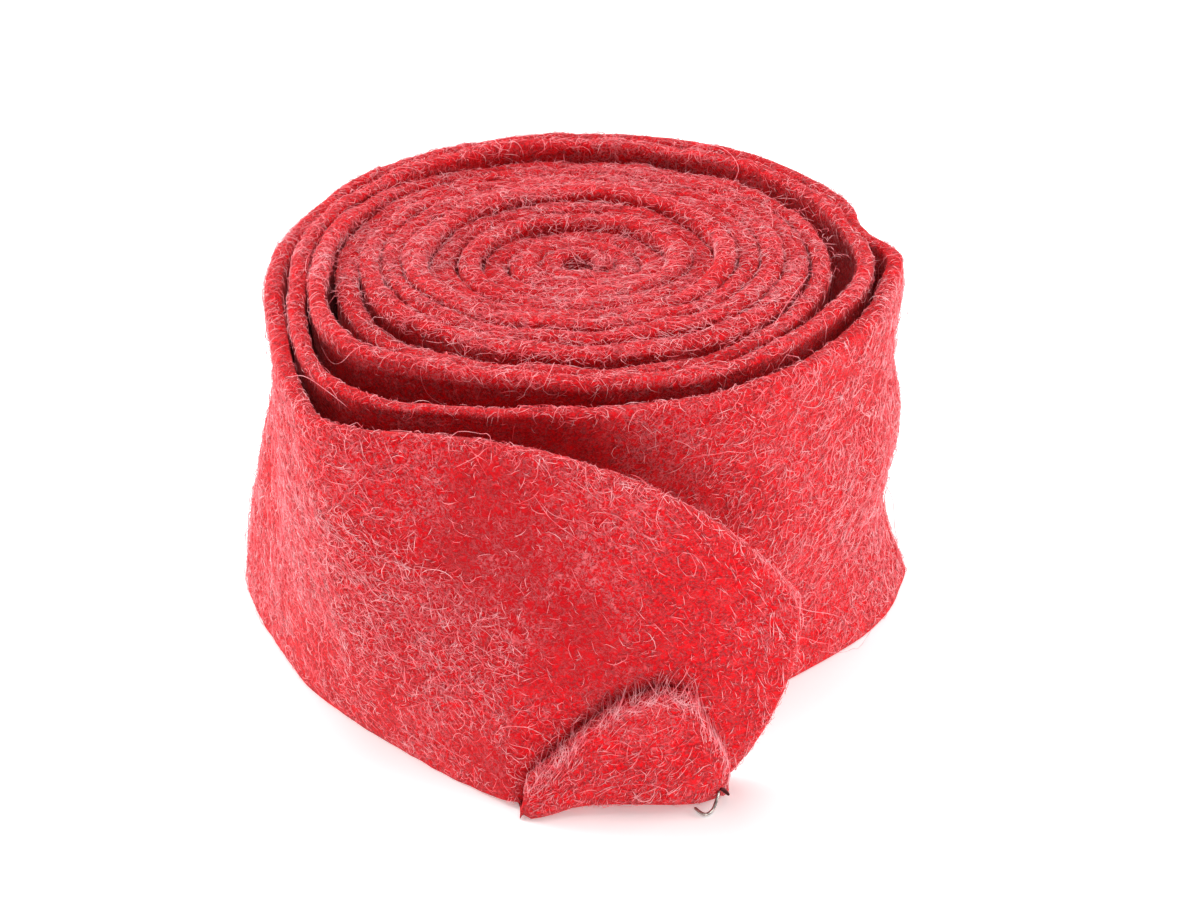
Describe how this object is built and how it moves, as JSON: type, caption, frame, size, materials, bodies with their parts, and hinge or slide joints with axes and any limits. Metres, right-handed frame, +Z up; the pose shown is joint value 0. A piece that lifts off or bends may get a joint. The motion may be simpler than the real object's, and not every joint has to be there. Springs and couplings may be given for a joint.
{
  "type": "roll of felt",
  "caption": "Roll of thick red felt band standing on its cut edge, wound in a loose spiral, with a loose end that stands in front and has one corner folded up.",
  "frame": {"origin": "on the winding axis of the roll, at the level of the face it stands on", "axes": "+Z up along the winding axis, -Y towards the side where the loose end stands, +X to the right seen from that side"},
  "size_m": [0.1414, 0.1463, 0.0808],
  "materials": {
    "felt": "matt, fuzzy wool felt",
    "wire": "bright drawn wire"
  },
  "bodies": {
    "root": {"wound_roll": "felt", "loose_end": "felt", "corner_pin": "wire"}
  },
  "joints": []
}
